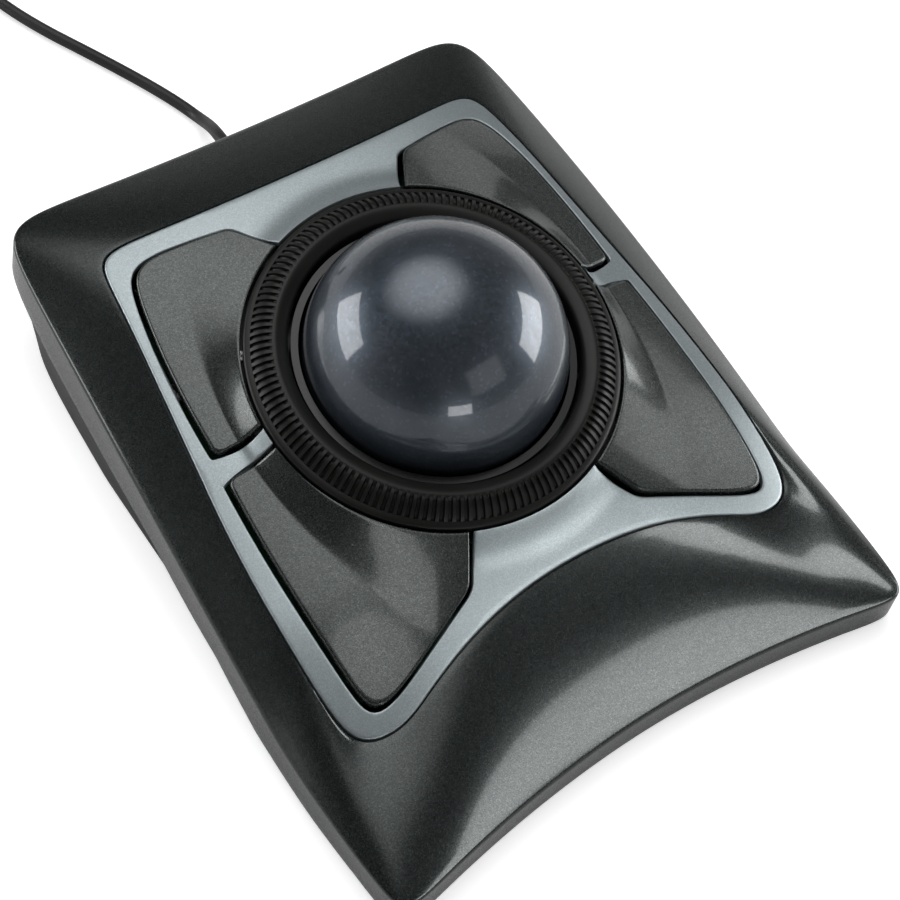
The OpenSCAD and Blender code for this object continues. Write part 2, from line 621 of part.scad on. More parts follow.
module at_switch(sx, sy) {
    p = switch_xy(row_of(sy));
    on_deck() translate([sx * p.x, sy * p.y, board_top]) rotate(90) children();
}
module switch_body(sx, sy) color([0.13, 0.13, 0.14]) at_switch(sx, sy) difference() {
    translate([-6.4, -2.9, 0]) cube([12.8, 5.8, body_h]);
    translate([0, 0, body_h - 2.5]) cylinder(h = 3, r = 1.05, $fn = 32);
    translate([-6.5, -3, body_h - 1.6]) cube([1.6, 6, 2]);
}
module plunger(sx, sy) color([0.85, 0.2, 0.15]) at_switch(sx, sy)
    translate([0, 0, body_h + plunger_out - plunger_h]) cylinder(h = plunger_h, r = 1, $fn = 32);
module switch_back_left() switch_body(-1, 1);
module switch_back_right() switch_body(1, 1);
module switch_front_left() switch_body(-1, -1);
module switch_front_right() switch_body(1, -1);
module plunger_back_left() plunger(-1, 1);
module plunger_back_right() plunger(1, 1);
module plunger_front_left() plunger(-1, -1);
module plunger_front_right() plunger(1, -1);

module controller_chip() color([0.07, 0.07, 0.07]) on_deck() union() {
    translate([-4, -38, board_top + 0.2]) cube([8, 8, 1.2]);
    // legs, each one bar through both sides
    for (i = [0:5]) translate([-4.9, -37.3 + i * 1.2, board_top]) cube([9.8, 0.5, 0.5]);
}
module cable_header() color("ivory") on_deck() difference() {
    translate([-26, 40.5, board_top]) cube([12, 4.5, 5.5]);
    translate([-25, 41.5, board_top + 1.2]) cube([10, 2.5, 5]);
}
module header_plug() color([0.9, 0.9, 0.88]) on_deck()
    translate([-24.9, 41.6, board_top + 1.3]) cube([9.8, 2.3, 4.6]);

// ---- cable: leaves the back wall, bends down to the desk and runs out to the left ----
cable_x = 0.5;
outlet_z = 15;
desk_z = cable_r + 0.05;    // cable's axis where it lies on the desk
span_steps = 9;
cable_sides = 16;
// four Bezier spans that share their end points: x from the outlet, y from the ring, z
path = [for (p = [
    [0, 62, outlet_z], [0, 70, outlet_z], [0, 78, outlet_z],
    [0, 84, outlet_z], [0, 92, outlet_z], [6, 100.5, desk_z],
    [3.8, 108, desk_z], [1.2, 117, desk_z], [-5, 130, desk_z],
    [-12.2, 144.5, desk_z], [-18, 156.5, desk_z], [-24, 172, desk_z],
    [-24, 191, 3.2]]) p + [cable_x, ring_y, 0]];

// [point, tangent] on the span that starts at path point k
function station(k, t) =
    let (q = 1 - t, a = path[k], b = path[k + 1], c = path[k + 2], d = path[k + 3])
    [a * q * q * q + b * 3 * t * q * q + c * 3 * t * t * q + d * t * t * t,
        (b - a) * 3 * q * q + (c - b) * 6 * t * q + (d - c) * 3 * t * t];
stations = concat(
    [for (k = [0:3:9]) for (i = [0:span_steps - 1]) station(k, i / span_steps)],
    [station(9, 1)]);

module cable() color([0.06, 0.06, 0.06]) stack_of([for (s = stations)
    let (along = unit(s[1]), side = unit(cross([0, 0, 1], along)), up = cross(along, side))
    [for (i = [0:cable_sides - 1]) let (a = -i * 360 / cable_sides)
        s[0] + side * cable_r * cos(a) + up * cable_r * sin(a)]]);

// z runs to the back along the outlet's axis, from y behind the ring's centre
module at_outlet(y) {
    translate([cable_x, ring_y + y, outlet_z]) rotate([-90, 0, 0]) children();
}
module strain_relief() color([0.07, 0.07, 0.07]) difference() {
    at_outlet(69) union() {
        cylinder(h = 15, r1 = 3, r2 = 2.3, $fn = 48);
        cylinder(h = 2.5, r = 4.6, $fn = 48);
    }
    at_outlet(60) cylinder(h = 40, r = cable_r + 0.05, $fn = 48);
}

// plug at the cable's far end, x runs on along the cable
usb_z = 4.5;
cable_end = path[12];
usb_dir = cable_end - path[11];
module at_usb() {
    translate([cable_end.x, cable_end.y, usb_z]) rotate([0, 0, atan2(usb_dir.y, usb_dir.x)])
        children();
}
module usb_overmould() color([0.06, 0.06, 0.06]) at_usb() difference() {
    union() {
        translate([4, -7.5, -4]) cube([20, 15, 8]);
        translate([-4, -3, -3.6]) cube([8, 6, 6.5]);
    }
    translate([-6, 0, cable_end.z - usb_z]) rotate([0, 90, 0])
        cylinder(h = 9.5, r = cable_r + 0.35, $fn = 48);
    translate([17, -6.05, -2.3]) cube([8, 12.1, 4.6]);
}
module usb_shell() color("silver") at_usb() difference() {
    translate([17, -6, -2.25]) cube([19, 12, 4.5]);
    translate([17.5, -5.7, -1.95]) cube([20, 11.4, 3.9]);
    for (y = [-3.2, 3.2]) translate([28, y - 1.1, -3]) cube([2.2, 2.2, 6]);
}
module usb_tongue() color("white") at_usb() translate([17.6, -5.65, -1.9]) cube([18, 11.3, 1.8]);

top_shell();
bezel();
button_back_left();
button_back_right();
button_front_left();
button_front_right();
scroll_ring();
encoder_ring();
ring_retainer();
retainer_screws();
ring_carrier();
carrier_screws();
ball();
ball_core();
ball_socket();
socket_bearings();
socket_screws();
sensor_lens();
sensor_chip();
sensor_board();
sensor_led();
encoder_emitter();
encoder_detector();
main_board();
board_screws();
controller_chip();
cable_header();
header_plug();
switch_back_left();
switch_back_right();
switch_front_left();
switch_front_right();
plunger_back_left();
plunger_back_right();
plunger_front_left();
plunger_front_right();
bottom_shell();
case_screws();
foot_back_left();
foot_back_right();
foot_front_left();
foot_front_right();
strain_relief();
cable();
usb_overmould();
usb_shell();
usb_tongue();
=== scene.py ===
"""A desktop trackball: a ball in a ribbed scroll ring, four buttons around them in a
silver frame, a dark casing, and a cable leaving the back for its plug.

+X is right, +Y is the back and z = 0 is the desk. Shapes are worked out in millimetres
and turned into metres as each mesh is made. The deck (ball, ring, buttons, frame) has its
own axes: origin CENTRE_Y back and DECK_Z up, tipped about x so that its back is higher.
"""
import json
import math

import bpy
import numpy as np
from mathutils import Matrix, Vector

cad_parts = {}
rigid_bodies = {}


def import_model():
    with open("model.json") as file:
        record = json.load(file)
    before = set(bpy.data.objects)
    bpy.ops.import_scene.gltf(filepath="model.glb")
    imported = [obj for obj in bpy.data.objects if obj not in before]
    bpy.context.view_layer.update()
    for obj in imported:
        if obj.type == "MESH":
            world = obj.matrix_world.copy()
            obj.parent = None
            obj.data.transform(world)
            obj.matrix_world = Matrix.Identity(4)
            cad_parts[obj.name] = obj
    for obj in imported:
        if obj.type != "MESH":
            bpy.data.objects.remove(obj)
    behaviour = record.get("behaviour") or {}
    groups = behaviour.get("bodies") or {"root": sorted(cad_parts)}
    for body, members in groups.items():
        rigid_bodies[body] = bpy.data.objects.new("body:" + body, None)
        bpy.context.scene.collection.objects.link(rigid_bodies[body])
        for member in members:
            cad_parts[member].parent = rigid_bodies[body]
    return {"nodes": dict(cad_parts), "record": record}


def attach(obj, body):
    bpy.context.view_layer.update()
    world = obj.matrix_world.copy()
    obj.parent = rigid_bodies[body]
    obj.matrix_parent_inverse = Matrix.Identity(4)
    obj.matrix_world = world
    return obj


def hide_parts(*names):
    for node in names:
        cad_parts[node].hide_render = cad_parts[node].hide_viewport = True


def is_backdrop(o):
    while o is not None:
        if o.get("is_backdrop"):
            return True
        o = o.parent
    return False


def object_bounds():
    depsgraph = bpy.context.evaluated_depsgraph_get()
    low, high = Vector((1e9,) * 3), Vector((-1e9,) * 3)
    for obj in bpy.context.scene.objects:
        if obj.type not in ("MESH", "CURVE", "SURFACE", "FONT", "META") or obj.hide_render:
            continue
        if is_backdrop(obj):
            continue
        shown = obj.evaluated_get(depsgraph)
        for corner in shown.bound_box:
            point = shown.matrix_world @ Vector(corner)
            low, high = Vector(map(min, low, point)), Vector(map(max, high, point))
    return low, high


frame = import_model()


def plain(bounds):
    return json.loads(json.dumps(bounds, default=lambda item: list(item)))


before = plain(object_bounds())

# ---------------------------------------------------------------- driving dimensions (mm)
MM = 0.001
TILT = math.radians(8.0)
CENTRE_Y, DECK_Z = 9.0, 36.0
OPENING = 39.8          # radius of the round opening in the deck
LIP_Z = 0.5             # deck height at the opening's edge
PROUD = 0.9             # buttons above the deck
HALF_GAP = 0.5          # half the gap around a button
SPAN_RADIUS = 50        # where lengths along a button's outer edge become angles
BALL_RADIUS, BALL_Z = 27.5, 0.7
CABLE_X, CABLE_Z = 0.5, 15.0

# Degrees from the x axis: inner start, outer start, inner end, outer end of a button
BACK_SPAN = (67, 65.2, 3.4, 3.4)
FRONT_SPAN = (67.4, 65.8, 3.2, 2.4)

# Half outlines run from the back (90) over the right side to the front (-90), in degrees
ANGLES = np.concatenate([
    np.linspace(90, 58, 23)[:-1], np.linspace(58, 40, 49)[:-1], np.linspace(40, -42, 61)[:-1],
    np.linspace(-42, -62, 55)[:-1], np.linspace(-62, -90, 21)])
# The same stations on the casing, whose corners lie at other angles than the frame's
CASING_ANGLES = np.interp(ANGLES, [-90, -49.3, 0, 49, 90], [-90, -53.9, 0, 51.4, 90])


# ---------------------------------------------------------------- curve helpers
def to_world(x, y, z):
    """Deck coordinates to world coordinates."""
    cosine, sine = math.cos(TILT), math.sin(TILT)
    return np.stack([x, y * cosine - z * sine + CENTRE_Y, y * sine + z * cosine + DECK_Z], -1)


def mix(start, end, share):
    return start * (1 - share) + end * share


def polar(angle, radius):
    return radius * np.cos(np.radians(angle)), radius * np.sin(np.radians(angle))


def power_min(a, b, power):
    """The smaller of two, rounded where they meet."""
    return (a ** -power + b ** -power) ** (-1.0 / power)


def smooth_max(a, b, width):
    return (a + b + np.sqrt((a - b) ** 2 + width * width)) / 2


def settle(value, rounds, step):
    """Fixed-point iteration."""
    for _ in range(rounds):
        value = step(value)
    return value


def sine_cosine(angle):
    """Size of the sine and the cosine, both kept off zero."""
    turn = np.radians(angle)
    return np.maximum(np.abs(np.sin(turn)), 1e-3), np.maximum(np.cos(turn), 1e-6)


def close_by_mirror(half):
    """A closed loop from its right half."""
    left = half[-2:0:-1].copy()
    left[:, 0] *= -1
    return np.concatenate([half, left])


# ---------------------------------------------------------------- deck surfaces
def deck_z(x, y):
    return -(2 + 4.6 * (np.abs(x) / 50) ** 2.9 + 0.0042 * np.maximum(0, np.abs(y) - 30) ** 2)


def drawn_to_lip(x, y, proud, share):
    """The deck raised by proud, drawn to the opening's lip where share is 1."""
    k = OPENING / np.hypot(x, y)
    return deck_z(x, y) + proud + (LIP_Z - deck_z(x * k, y * k) - proud) * share


def frame_z(x, y):
    r = np.hypot(x, y)
    width = 5 + 3 * y * y / r / r
    return drawn_to_lip(x, y, 0, np.clip(1 - (r - OPENING) / width, 0, 1) ** 2)


def crease_radius(turn):
    """The crease across a button, on the curve |x| + 0.0048 y^2 = 44.3."""
    sine, cosine = np.abs(np.sin(turn)), np.abs(np.cos(turn))
    q = np.maximum(0.0048 * sine * sine, 1e-7)
    return (-cosine + np.sqrt(cosine * cosine + 4 * q * 44.3)) / (2 * q)


def button_z(x, y):
    r = np.hypot(x, y)
    crease = np.minimum(60, crease_radius(np.arctan2(np.abs(y), np.abs(x))))
    out = np.clip((r - OPENING) / np.maximum(crease - OPENING, 1), 0, 1)
    # the crease itself is rounded a little
    return drawn_to_lip(x, y, PROUD, smooth_max(1 - out, 0, math.sqrt(0.0035)) ** 1.25)


def frame_radius(angle):
    """Outer outline of the silver frame."""
    sine, cosine = sine_cosine(angle)
    tangent = sine / cosine
    steep = np.maximum(tangent, 0.3)
    y = settle(53.0, 4, lambda y: 52.4 + 1.9 * (np.minimum(y / steep, 60) / 38) ** 2.5)
    back = power_min(y / sine, 53.8 / (cosine + 0.115 * sine), 19)
    y = settle(55.0, 6, lambda y: 50.5 + 11 * (power_min(y / steep, 44.5, 20.0) / 44) ** 2.1)
    side = np.where(tangent > 1.6, 1e4, (53.8 + 6.9 * tangent - 5 * tangent ** 2) / cosine)
    return np.where(angle >= 0, back, power_min(y / sine, side, 17))


def button_radius(angle, back):
    """Outer outline of a button, before its gap and corners; angles are positive."""
    cosine, sine = polar(angle, 1)
    tangent = sine / cosine
    if back:
        reach, least, top, power = sine - 0.171 * cosine, 0.3, 42.36, 18
        side = np.where(tangent > 1.6, 1e4, (49.7 - 5 * tangent ** 2) / cosine)
    else:
        reach, least, top, power = sine - 0.453 * cosine, 0.2, 36.6, 14
        side = np.where(tangent > 1.8, 1e4, (50.2 + 3.9 * tangent - 3.5 * tangent ** 2) / cosine)
    end = np.where(reach < least, 1e4, top / np.maximum(reach, least))
    return power_min(end, side, power)


# ---------------------------------------------------------------- casing surfaces
# Here y is measured from CENTRE_Y.
def side_x(y):
    return 64.35 - 0.0428 * y - 0.000215 * y * y - 0.0012 * np.maximum(0, -45 - y) ** 2


def rim_z(y):
    """Height of the casing's upper rim."""
    return smooth_max(21.1 + 0.175 * y - 0.00075 * y * y, 11.2, 1.2)


def skirt_z(y):
    """Height of the casing's lower edge."""
    return smooth_max(4.85 + 0.215 * y, 2.0, 1.5)


def flare(y):
    """How far the lower edge stands outside the rim."""
    return (1.5 * np.clip((y - 5) / 45, 0, 1) + 1.2 * np.clip((-y - 22) / 18, 0, 1)
            - 0.5 * np.clip((-y - 60) / 15, 0, 1))


def splay(y):
    """How far the foot stands outside the rim."""
    return -0.3 + 1.7 * np.clip((y + 5) / 30, 0, 1) + np.clip((-y - 22) / 18, 0, 1)


def casing_radius(angle, foot):
    """Outline of the casing at its rim, or at its foot."""
    sine, cosine = sine_cosine(angle)
    tangent = sine / cosine
    steep = np.maximum(tangent, 0.3)
    sign = np.where(angle >= 0, 1.0, -1.0)
    x = settle(64.0, 6, lambda x: side_x(sign * np.minimum(x * tangent, 95)))
    back_y = settle(76.0, 4, lambda y: 75.7 + 0.9 * (np.minimum(y / steep, 66) / 45) ** 2)
    front_y = settle(83.0, 6, lambda y: 81.1 + 6.3 * (np.minimum(y / steep, 70) / 56) ** 1.9)
    front = power_min(front_y / sine, x / cosine, 30)
    if foot:
        side = (x + splay(60 * np.clip(tangent, 0, 1))) / cosine
        back = power_min(back_y / sine, side, 9)
        front = front + splay(front * np.sin(np.radians(angle)))
    else:
        back = power_min(back_y / sine, x / cosine, 16)
    return np.where(angle >= 0, back, front)


def casing_plan(inset, foot=False):
    """Half outline of the casing, drawn in by inset."""
    return polar(CASING_ANGLES, casing_radius(CASING_ANGLES, foot) - inset)


def casing_half(x, y, z):
    return np.stack([x, y + CENTRE_Y, z], -1)


def rim_loop(inset, drop):
    x, y = casing_plan(inset)
    return close_by_mirror(casing_half(x, y, rim_z(y) - drop))


def skirt_loop(inset, lift):
    rim_y = casing_plan(0)[1]
    x, y = casing_plan(inset - flare(rim_y))
    return close_by_mirror(casing_half(x, y, skirt_z(rim_y) + lift))


def flat_loop(inset, z):
    x, y = casing_plan(inset, foot=True)
    return close_by_mirror(casing_half(x, y, np.full_like(x, z)))


# ---------------------------------------------------------------- mesh helpers
def bridge(across, along, wrap_across=True, wrap_along=False):
    """Quads of a grid whose points run across first."""
    i = np.arange(across if wrap_across else across - 1)
    j = np.arange(along if wrap_along else along - 1)
    J, I = np.meshgrid(j, i, indexing="ij")
    next_i, next_j = (I + 1) % across, (J + 1) % along
    corners = [J * across + I, J * across + next_i, next_j * across + next_i, next_j * across + I]
    return np.stack(corners, -1).reshape(-1, 4).tolist()


def skin(loops, closed=False):
    """Points and faces over a stack of loops, capped unless the last meets the first."""
    grid = np.stack(loops)
    along, across = grid.shape[:2]
    faces = bridge(across, along, True, closed)
    if not closed:
        faces.append(list(range(across))[::-1])
        faces.append([(along - 1) * across + i for i in range(across)])
    return grid.reshape(-1, 3), faces


def join(parts):
    points, faces, count = [], [], 0
    for part_points, part_faces in parts:
        faces += [[count + corner for corner in face] for face in part_faces]
        points.append(part_points)
        count += len(part_points)
    return np.concatenate(points), faces


def reversed_faces(faces):
    return [face[::-1] for face in faces]


def circle(count):
    turn = np.linspace(0, 2 * math.pi, count, endpoint=False)
    return np.cos(turn), np.sin(turn)


def cylinder(start, end, radius, count, bevel=0.0):
    start, end = np.array(start, float), np.array(end, float)
    axis = (end - start) / np.linalg.norm(end - start)
    u = np.cross(axis, [0, 0, 1] if abs(axis[2]) < 0.9 else [1, 0, 0])
    u /= np.linalg.norm(u)
    cosine, sine = circle(count)
    ring = cosine[:, None] * u + sine[:, None] * np.cross(axis, u)
    wall = [start + axis * bevel + ring * radius, end - axis * bevel + ring * radius]
    if not bevel:
        return skin(wall)
    tip = ring * (radius - bevel)
    return skin([start + tip, *wall, end + tip])


def link(name, data):
    made = bpy.data.objects.new(name, data)
    bpy.context.scene.collection.objects.link(made)
    return made


def make(name, shape, body, node, slot, sharp, flip=False):
    """An object from points (mm) and faces; edges over sharp degrees stay sharp."""
    points, faces = shape
    mesh = bpy.data.meshes.new(name)
    mesh.from_pydata((points * MM).tolist(), [], reversed_faces(faces) if flip else faces)
    mesh.validate()
    mesh.update()
    mesh.shade_smooth()
    mesh.set_sharp_from_angle(angle=math.radians(sharp))
    piece = link(name, mesh)
    mesh.materials.append(MATERIALS[slot])
    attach(piece, body)
    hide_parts(node)
    return piece


# ---------------------------------------------------------------- shader helpers
def feed(tree, node, inputs):
    """Set a node's inputs; a socket is linked, anything else is a value."""
    for key, value in inputs.items():
        if isinstance(value, bpy.types.NodeSocket):
            tree.links.new(value, node.inputs[key])
        else:
            node.inputs[key].default_value = value


def add_node(tree, kind, inputs, **settings):
    node = tree.nodes.new(kind)
    for key, value in settings.items():
        setattr(node, key, value)
    feed(tree, node, inputs)
    return node


def start_material(name):
    material = bpy.data.materials.new(name)
    material.use_nodes = True
    tree = material.node_tree
    tree.nodes.clear()
    output = tree.nodes.new("ShaderNodeOutputMaterial")
    surface = tree.nodes.new("ShaderNodeBsdfPrincipled")
    tree.links.new(surface.outputs[0], output.inputs[0])
    place = tree.nodes.new("ShaderNodeTexCoord").outputs["Object"]
    return material, tree, surface, place


def grey(level):
    return (level,) * 3


def ramp(tree, source, stops):
    """A colour ramp; stops are (position, rgb)."""
    node = tree.nodes.new("ShaderNodeValToRGB")
    elements = node.color_ramp.elements
    while len(elements) < len(stops):
        elements.new(0.5)
    for element, (position, colour) in zip(elements, stops):
        element.position = position
        element.color = (*colour, 1)
    tree.links.new(source, node.inputs[0])
    return node.outputs[0]


def noise(tree, place, scale, detail, roughness=0.5, distortion=0.0):
    return add_node(tree, "ShaderNodeTexNoise", {
        "Scale": scale, "Detail": detail, "Roughness": roughness,
        "Distortion": distortion, "Vector": place}).outputs[0]


def flakes(tree, place, scale):
    """Three random values for each small cell."""
    cells = add_node(tree, "ShaderNodeTexVoronoi", {"Scale": scale, "Vector": place})
    return add_node(tree, "ShaderNodeSeparateColor", {0: cells.outputs["Color"]}).outputs


def multiply(tree, first, second):
    return add_node(tree, "ShaderNodeMix", {0: 1.0, 6: first, 7: second},
                    data_type="RGBA", blend_type="MULTIPLY").outputs[2]


def bump(tree, height, strength, distance):
    return add_node(tree, "ShaderNodeBump", {
        "Strength": strength, "Distance": distance, "Height": height}).outputs[0]


# ---------------------------------------------------------------- materials
def paint(name, dark, light, roughness, coat, coat_roughness):
    """Metallic paint: random flakes between dark and light under a clear coat."""
    material, tree, surface, place = start_material(name)
    cell = flakes(tree, place, scale=5200)
    middle = [(a + b) / 2 for a, b in zip(dark, light)]
    colour = ramp(tree, cell[0], [(0.0, dark), (0.76, middle), (1.0, light)])
    clouds = noise(tree, place, scale=55, detail=2)
    shade = ramp(tree, clouds, [(0.35, grey(0.93)), (0.65, grey(1))])
    spread = [(0.0, grey(roughness * 0.82)), (1.0, grey(min(1, roughness * 1.18)))]
    feed(tree, surface, {
        "Base Color": multiply(tree, colour, shade), "Metallic": 0.7,
        "Roughness": ramp(tree, cell[1], spread),
        "Coat Weight": coat, "Coat Roughness": coat_roughness,
        "Normal": bump(tree, cell[2], strength=0.10, distance=0.02 * MM)})
    return material


def plastic(name, dark, light, roughness, grain, depth, strength, specular, metallic):
    """A plain finish: faint clouds of colour and a fine grain."""
    material, tree, surface, place = start_material(name)
    fine = noise(tree, place, grain, detail=3, roughness=0.6)
    clouds = noise(tree, place, scale=60, detail=3)
    spread = [(0.3, grey(roughness * 0.88)), (0.7, grey(min(1, roughness * 1.1)))]
    feed(tree, surface, {
        "Base Color": ramp(tree, clouds, [(0.3, dark), (0.7, light)]),
        "Roughness": ramp(tree, fine, spread), "Metallic": metallic,
        "Specular IOR Level": specular, "Coat Roughness": 0.08,
        "Normal": bump(tree, fine, strength, depth * MM)})
    return material


def ball_pearl():
    """Swirled blue-grey pearl with brighter specks under a gloss coat."""
    material, tree, surface, place = start_material("ball_pearl")
    cell = flakes(tree, place, scale=1900)
    swirl = noise(tree, place, scale=34, detail=5, roughness=0.55, distortion=1.2)
    colour = ramp(tree, swirl, [
        (0.25, (0.036, 0.050, 0.066)), (0.5, (0.064, 0.080, 0.100)),
        (0.78, (0.108, 0.121, 0.146))])
    specks = ramp(tree, cell[0], [(0.0, grey(0.92)), (0.85, grey(1)), (1.0, (1.3, 1.28, 1.35))])
    feed(tree, surface, {
        "Base Color": multiply(tree, colour, specks), "Metallic": 0.72,
        "Roughness": ramp(tree, cell[1], [(0.0, grey(0.30)), (1.0, grey(0.44))]),
        "Coat Weight": 1.0, "Coat Roughness": 0.035})
    return material


# slot: material, dark, light, roughness, coat, coat roughness
PAINTS = {
    "shell_flake": ("shell_paint", (0.013, 0.0165, 0.016), (0.052, 0.061, 0.059),
                    0.26, 0.45, 0.10),
    "button_flake": ("button_paint", (0.022, 0.027, 0.026), (0.085, 0.094, 0.091),
                     0.28, 0.45, 0.10),
    "silver_frame": ("frame_paint", (0.30, 0.345, 0.36), (0.42, 0.47, 0.485),
                     0.40, 0.25, 0.25),
}
# slot: material, dark, light,
#       roughness, grain scale, grain depth (mm), bump strength, specular, metallic
PLASTICS = {
    "ring_rubber": ("ring_rubber", (0.006, 0.006, 0.0055), (0.011, 0.011, 0.010),
                    0.40, 2200, 0.015, 0.2, 0.28, 0),
    "base_plastic": ("base_plastic", (0.022, 0.023, 0.023), (0.032, 0.033, 0.033),
                     0.5, 2600, 0.03, 0.35, 0.5, 0),
    "black_plastic": ("black_plastic", (0.010, 0.010, 0.011), (0.018, 0.018, 0.019),
                      0.45, 2200, 0.02, 0.25, 0.5, 0),
    "socket_plastic": ("socket_plastic", (0.006, 0.006, 0.007), (0.010, 0.010, 0.011),
                       0.22, 900, 0.01, 0.1, 0.5, 0),
    "ceramic": ("ceramic_white", (0.74, 0.73, 0.69), (0.82, 0.81, 0.78),
                0.12, 600, 0.003, 0.05, 0.6, 0),
    "screw_steel": ("zinc_steel", (0.46, 0.46, 0.48), (0.60, 0.60, 0.62),
                    0.32, 1300, 0.01, 0.15, 0.5, 1),
    "plug_steel": ("nickel_plate", (0.60, 0.59, 0.56), (0.70, 0.69, 0.67),
                   0.22, 1600, 0.008, 0.12, 0.5, 1),
    "clear_plastic": ("clear_plastic", (0.55, 0.60, 0.62), (0.62, 0.66, 0.68),
                      0.08, 500, 0.003, 0.05, 0.6, 0),
    "chip_black": ("chip_epoxy", (0.012, 0.012, 0.012), (0.022, 0.022, 0.022),
                   0.6, 2400, 0.02, 0.3, 0.5, 0),
    "board_green": ("solder_mask", (0.010, 0.080, 0.034), (0.016, 0.110, 0.046),
                    0.3, 700, 0.02, 0.2, 0.5, 0),
    "led_red": ("led_red", (0.40, 0.02, 0.02), (0.52, 0.04, 0.03),
                0.15, 500, 0.003, 0.05, 0.5, 0),
    "ivory_plastic": ("ivory_nylon", (0.60, 0.57, 0.48), (0.68, 0.65, 0.56),
                      0.45, 1500, 0.01, 0.15, 0.5, 0),
    "plunger_red": ("plunger_red", (0.42, 0.05, 0.03), (0.52, 0.07, 0.04),
                    0.4, 1200, 0.01, 0.15, 0.5, 0),
    "foot_rubber": ("foot_rubber", (0.010, 0.010, 0.010), (0.018, 0.018, 0.018),
                    0.75, 1800, 0.04, 0.4, 0.3, 0),
    "cable_rubber": ("cable_rubber", (0.012, 0.012, 0.013), (0.022, 0.022, 0.023),
                     0.5, 1700, 0.02, 0.25, 0.4, 0),
    # a spare finish, worn by no piece
    "slot_black": ("slot_black", (0.004, 0.004, 0.004), (0.008, 0.008, 0.008),
                   0.6, 1700, 0.02, 0.2, 0.3, 0),
}
MATERIALS = {slot: paint(*row) for slot, row in PAINTS.items()}
MATERIALS.update({slot: plastic(*row) for slot, row in PLASTICS.items()})
MATERIALS["ball_gloss"] = ball_pearl()


def dress_cad_pieces():
    slots = {part["node"]: part["material_slot"] for part in frame["record"]["subparts"]}
    for node, piece in frame["nodes"].items():
        piece.data.materials.clear()
        piece.data.materials.append(MATERIALS[slots[node]])


# ---------------------------------------------------------------- top shell
def frame_half(offset, drop):
    """Half of the frame's outline moved out by offset, drop below the frame's surface."""
    x, y = polar(ANGLES, frame_radius(ANGLES) + offset)
    return to_world(x, y, frame_z(x, y) - drop)


def build_casing_top():
    inset = 0.72    # where the crown ends and the rounded rim begins
    front = np.clip(-1.6 * np.sin(np.radians(ANGLES)) - 0.4, 0, 1)
    inner = frame_half(0.4, 0)
    x, y = casing_plan(inset)
    outer = casing_half(x, y, rim_z(y))
    full_x, full_y = casing_plan(0)
    outward = np.stack([full_x - x, full_y - y], -1) / inset
    rise = outer[:, 2] - inner[:, 2]
    reach = np.hypot(outer[:, 0] - inner[:, 0], outer[:, 1] - inner[:, 1])
    start_slope = (0.85 - 0.25 * front) * rise
    end_slope = (1.15 + 0.4 * front) * rise
    start_turn = np.arctan(np.abs(end_slope) / reach)
    rim_radius = inset / (1 - np.sin(start_turn))

    def crown(out, drop=0.0):
        """A loop of the curved top, from the frame (0) to the rim (1)."""
        rest = 1 - out
        points = mix(inner, outer, out)
        points[:, 2] = (inner[:, 2] * (1 + 2 * out) * rest ** 2
                        + outer[:, 2] * out ** 2 * (3 - 2 * out)
                        + start_slope * out * rest ** 2 - end_slope * out ** 2 * rest - drop)
        return close_by_mirror(points)

    def rounded_rim(share):
        turn = mix(start_turn, math.pi / 2, share)
        out = rim_radius * (np.sin(turn) - np.sin(start_turn))
        points = outer.copy()
        points[:, :2] += outward * out[:, None]
        points[:, 2] -= rim_radius * (np.cos(start_turn) - np.cos(turn))
        return close_by_mirror(points)

    # offset from the frame's outline, drop: the pocket the frame sits in
    pocket = [(-0.2, 3.6), (-2.8, 3.6), (-2.8, 2.0), (0.4, 2.0), (0.4, 0.45), (0.44, 0.22),
              (0.56, 0.06)]
    fifths = (0.2, 0.4, 0.6, 0.8, 1.0)
    loops = [close_by_mirror(frame_half(*row)) for row in pocket]
    loops += [crown(out) for out in (0.035, 0.07, *np.linspace(0.11, 1, 19))]
    loops += [rounded_rim(share) for share in fifths]
    wall_top, wall_foot = loops[-1], skirt_loop(0.35, 0.5)
    loops += [mix(wall_top, wall_foot, share) for share in fifths]
    # inset, lift: round the lower edge to the inside
    loops += [skirt_loop(*row) for row in [(0.45, 0.15), (0.75, 0), (2.5, 0), (2.5, 2.7)]]
    loops += [rim_loop(2.6, 5.5), crown(0.55, 2.4)]
    make("casing_top", skin(loops, closed=True), "base", "top_shell", "shell_flake", sharp=32)


# ---------------------------------------------------------------- silver frame
def arc_degrees(length, radius):
    return length / radius * 180 / math.pi


def corner_trim(angle, start, end, radius):
    """How much a rounded corner takes off the outline near its two ends."""
    near = np.minimum(np.abs(angle - start), np.abs(angle - end))
    near = near / arc_degrees(radius, SPAN_RADIUS)
    bite = radius * (1 - np.sqrt(np.clip(1 - (1 - near) ** 2, 0, 1)))
    return np.where(near < 1, bite, 0)


def crowded(start, end, count, width=2.2):
    """Samples from start to end, closer together within width of both ends."""
    close = np.array([0, .06, .14, .25, .4, .6, .85])
    k = min(width / abs(end - start), 0.3)
    shares = np.concatenate([close * k, np.linspace(k, 1 - k, count - 13), 1 - close[::-1] * k])
    return start + (end - start) * shares


def lobe(back):
    """The frame's edge around a button's outer side: angles and radii."""
    _, start, _, end = BACK_SPAN if back else FRONT_SPAN
    start += arc_degrees(HALF_GAP, SPAN_RADIUS)
    end -= arc_degrees(HALF_GAP, SPAN_RADIUS)
    angles = crowded(start, end, 90)
    trim = corner_trim(angles, start, end, 1.6)
    return angles, button_radius(angles, back) + HALF_GAP - trim


